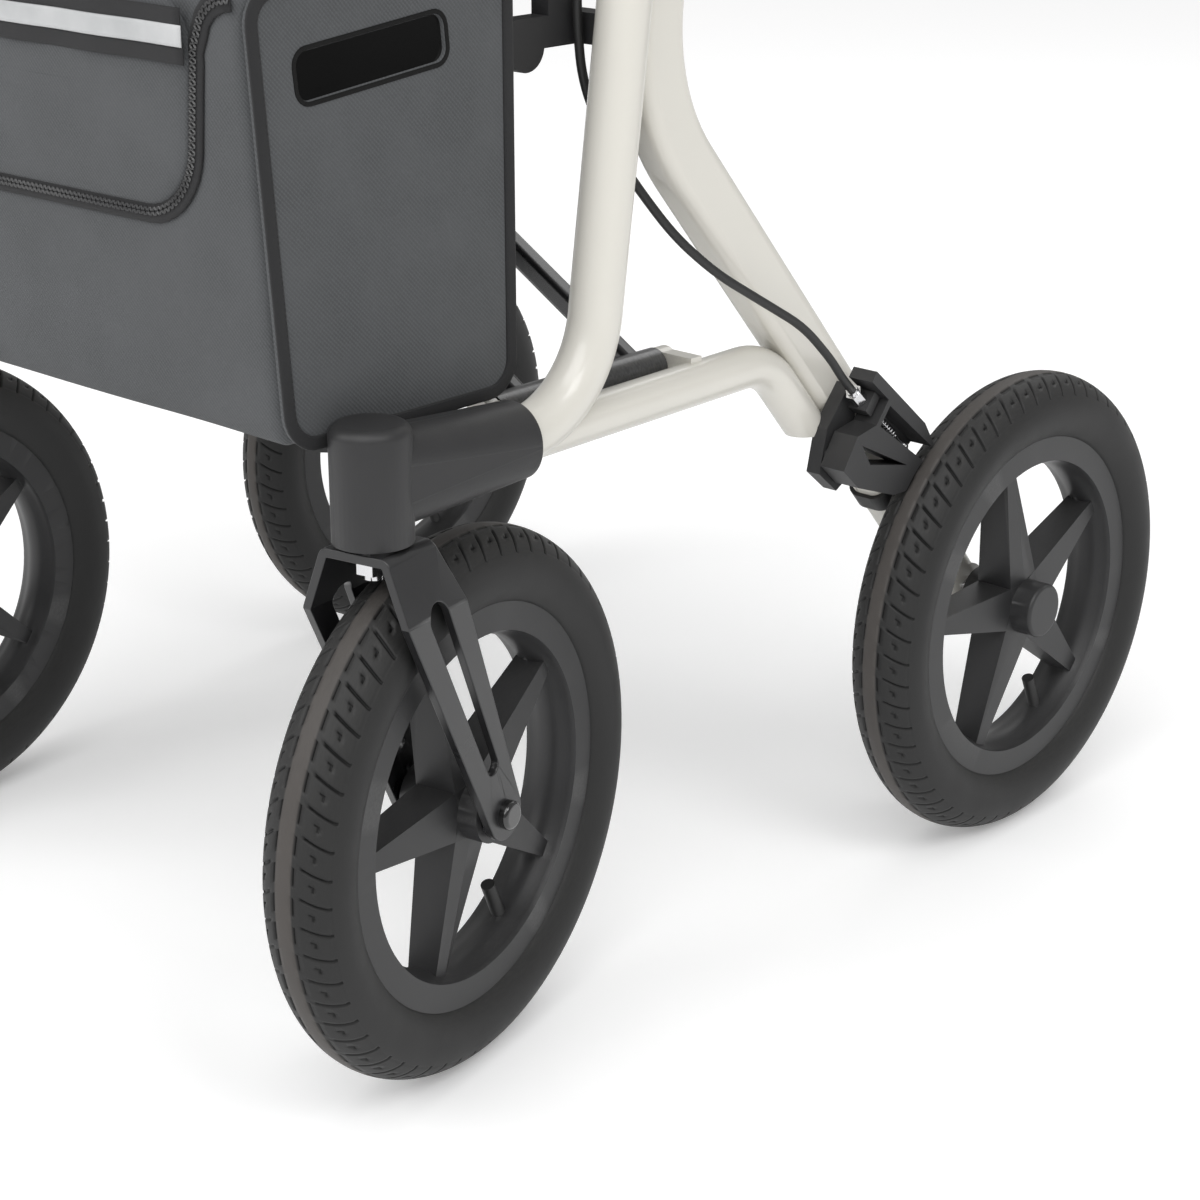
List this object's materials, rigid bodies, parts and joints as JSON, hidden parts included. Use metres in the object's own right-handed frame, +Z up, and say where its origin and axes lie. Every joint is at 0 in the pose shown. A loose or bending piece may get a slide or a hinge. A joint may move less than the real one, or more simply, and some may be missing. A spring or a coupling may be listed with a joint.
{
  "type": "folding walker",
  "caption": "Outdoor folding walker on large air tyres with swivelling front forks, cross-brace fold, hand brakes, seat, backrest strap and front fabric bag.",
  "frame": {"origin": "on the ground under the middle of the walker's outline", "axes": "+Z up, the walker faces -Y, +X is the walker's left side"},
  "size_m": [0.623, 0.7508, 0.919],
  "materials": {
    "frame_paint": "cream gloss paint",
    "black_metal": "satin black coat",
    "black_plastic": "fine satin",
    "wheel_plastic": "smooth satin",
    "tyre_rubber": "smooth sidewall, ribbed tread",
    "inner_rubber": "matte",
    "bearing_steel": "ground",
    "bright_steel": "bright zinc",
    "grip_rubber": "soft matte",
    "cable_sleeve": "matte sleeve",
    "bag_fabric": "grey twill",
    "seat_fabric": "padded black fabric"
  },
  "bodies": {
    "side_left": {"front_tube_left": "frame_paint", "lower_tube_left": "frame_paint", "rear_leg_left": "frame_paint", "caster_housing_left": "black_plastic", "headset_bearings_left": "bearing_steel", "seat_receiver_left": "black_plastic", "post_clamp_left": "black_plastic", "rear_axle_left": "bright_steel", "brake_bracket_left": "black_plastic", "cable_adjuster_left": "bright_steel", "brake_cable_left": "cable_sleeve", "brake_spring_left": "bright_steel", "bag": "bag_fabric", "backrest": "seat_fabric"},
    "side_right": {"front_tube_right": "frame_paint", "lower_tube_right": "frame_paint", "rear_leg_right": "frame_paint", "caster_housing_right": "black_plastic", "headset_bearings_right": "bearing_steel", "seat_receiver_right": "black_plastic", "post_clamp_right": "black_plastic", "rear_axle_right": "bright_steel", "brake_bracket_right": "black_plastic", "cable_adjuster_right": "bright_steel", "brake_cable_right": "cable_sleeve", "brake_spring_right": "bright_steel"},
    "arm_a": {"brace_arm_a": "black_metal", "cross_pivots": "bright_steel"},
    "arm_b": {"brace_arm_b": "black_metal", "seat": "seat_fabric"},
    "caster_left": {"fork_left": "black_metal", "caster_stem_left": "bright_steel", "front_axle_left": "black_metal"},
    "front_wheel_left": {"front_tyre_left": "tyre_rubber", "front_inner_tube_left": "inner_rubber", "front_rim_left": "wheel_plastic", "front_bearings_left": "bearing_steel"},
    "rear_wheel_left": {"rear_tyre_left": "tyre_rubber", "rear_inner_tube_left": "inner_rubber", "rear_rim_left": "wheel_plastic", "rear_bearings_left": "bearing_steel"},
    "handle_left": {"handle_post_left": "black_metal", "hand_grip_left": "grip_rubber"},
    "lever_left": {"brake_lever_left": "black_plastic"},
    "brake_left": {"brake_arm_left": "black_plastic"},
    "caster_right": {"fork_right": "black_metal", "caster_stem_right": "bright_steel", "front_axle_right": "black_metal"},
    "front_wheel_right": {"front_tyre_right": "tyre_rubber", "front_inner_tube_right": "inner_rubber", "front_rim_right": "wheel_plastic", "front_bearings_right": "bearing_steel"},
    "rear_wheel_right": {"rear_tyre_right": "tyre_rubber", "rear_inner_tube_right": "inner_rubber", "rear_rim_right": "wheel_plastic", "rear_bearings_right": "bearing_steel"},
    "handle_right": {"handle_post_right": "black_metal", "hand_grip_right": "grip_rubber"},
    "lever_right": {"brake_lever_right": "black_plastic"},
    "brake_right": {"brake_arm_right": "black_plastic"}
  },
  "joints": [
    {"name": "fold", "type": "hinge", "parent": "side_left", "child": "arm_a", "pos_m": [0.22, -0.1, 0.35], "axis": [0, 1, 0], "range_deg": [0, 45.8], "deforming": ["seat", "bag", "backrest"]},
    {"name": "cross", "type": "hinge", "parent": "arm_a", "child": "arm_b", "pos_m": [0, -0.1, 0.48], "axis": [0, 1, 0], "range_deg": [-91.6, 0]},
    {"name": "fold_right", "type": "hinge", "parent": "arm_b", "child": "side_right", "pos_m": [-0.22, -0.1, 0.35], "axis": [0, 1, 0], "range_deg": [0, 45.8]},
    {"name": "swivel_left", "type": "hinge", "parent": "side_left", "child": "caster_left", "pos_m": [0.25, -0.289, 0.34], "axis": [0, 0, 1], "continuous": true},
    {"name": "front_spin_left", "type": "hinge", "parent": "caster_left", "child": "front_wheel_left", "pos_m": [0.23707, -0.22428, 0.15], "axis": [0.9806, 0.1959, 0], "continuous": true},
    {"name": "rear_spin_left", "type": "hinge", "parent": "side_left", "child": "rear_wheel_left", "pos_m": [0.284, 0.228, 0.15], "axis": [1, 0, 0], "continuous": true},
    {"name": "handle_height_left", "type": "slide", "parent": "side_left", "child": "handle_left", "axis": [0, 0.1392, 0.9903], "range_m": [-0.06, 0.08]},
    {"name": "lever_left", "type": "hinge", "parent": "handle_left", "child": "lever_left", "pos_m": [0.25, -0.008, 0.878], "axis": [1, 0, 0], "range_deg": [0, 14], "stiffness_Nm_per_rad": 0.6, "springref_deg": -17.19},
    {"name": "brake_left", "type": "hinge", "parent": "side_left", "child": "brake_left", "pos_m": [0.268, 0.06, 0.282], "axis": [-1, 0, 0], "range_deg": [0, 1.4]},
    {"name": "swivel_right", "type": "hinge", "parent": "side_right", "child": "caster_right", "pos_m": [-0.25, -0.289, 0.34], "axis": [0, 0, 1], "continuous": true},
    {"name": "front_spin_right", "type": "hinge", "parent": "caster_right", "child": "front_wheel_right", "pos_m": [-0.25518, -0.2232, 0.15], "axis": [0.9969, 0.0785, 0], "continuous": true},
    {"name": "rear_spin_right", "type": "hinge", "parent": "side_right", "child": "rear_wheel_right", "pos_m": [-0.284, 0.228, 0.15], "axis": [1, 0, 0], "continuous": true},
    {"name": "handle_height_right", "type": "slide", "parent": "side_right", "child": "handle_right", "axis": [0, 0.1392, 0.9903], "range_m": [-0.06, 0.08]},
    {"name": "lever_right", "type": "hinge", "parent": "handle_right", "child": "lever_right", "pos_m": [-0.25, -0.008, 0.878], "axis": [1, 0, 0], "range_deg": [0, 14], "stiffness_Nm_per_rad": 0.6, "springref_deg": -17.19},
    {"name": "brake_right", "type": "hinge", "parent": "side_right", "child": "brake_right", "pos_m": [-0.268, 0.06, 0.282], "axis": [-1, 0, 0], "range_deg": [0, 1.4]}
  ],
  "couplings": [
    {"joint": "cross", "follows": "fold", "ratio": -2},
    {"joint": "fold_right", "follows": "fold", "ratio": 1},
    {"joint": "brake_left", "follows": "lever_left", "ratio": 0.1},
    {"joint": "brake_right", "follows": "lever_right", "ratio": 0.1}
  ]
}
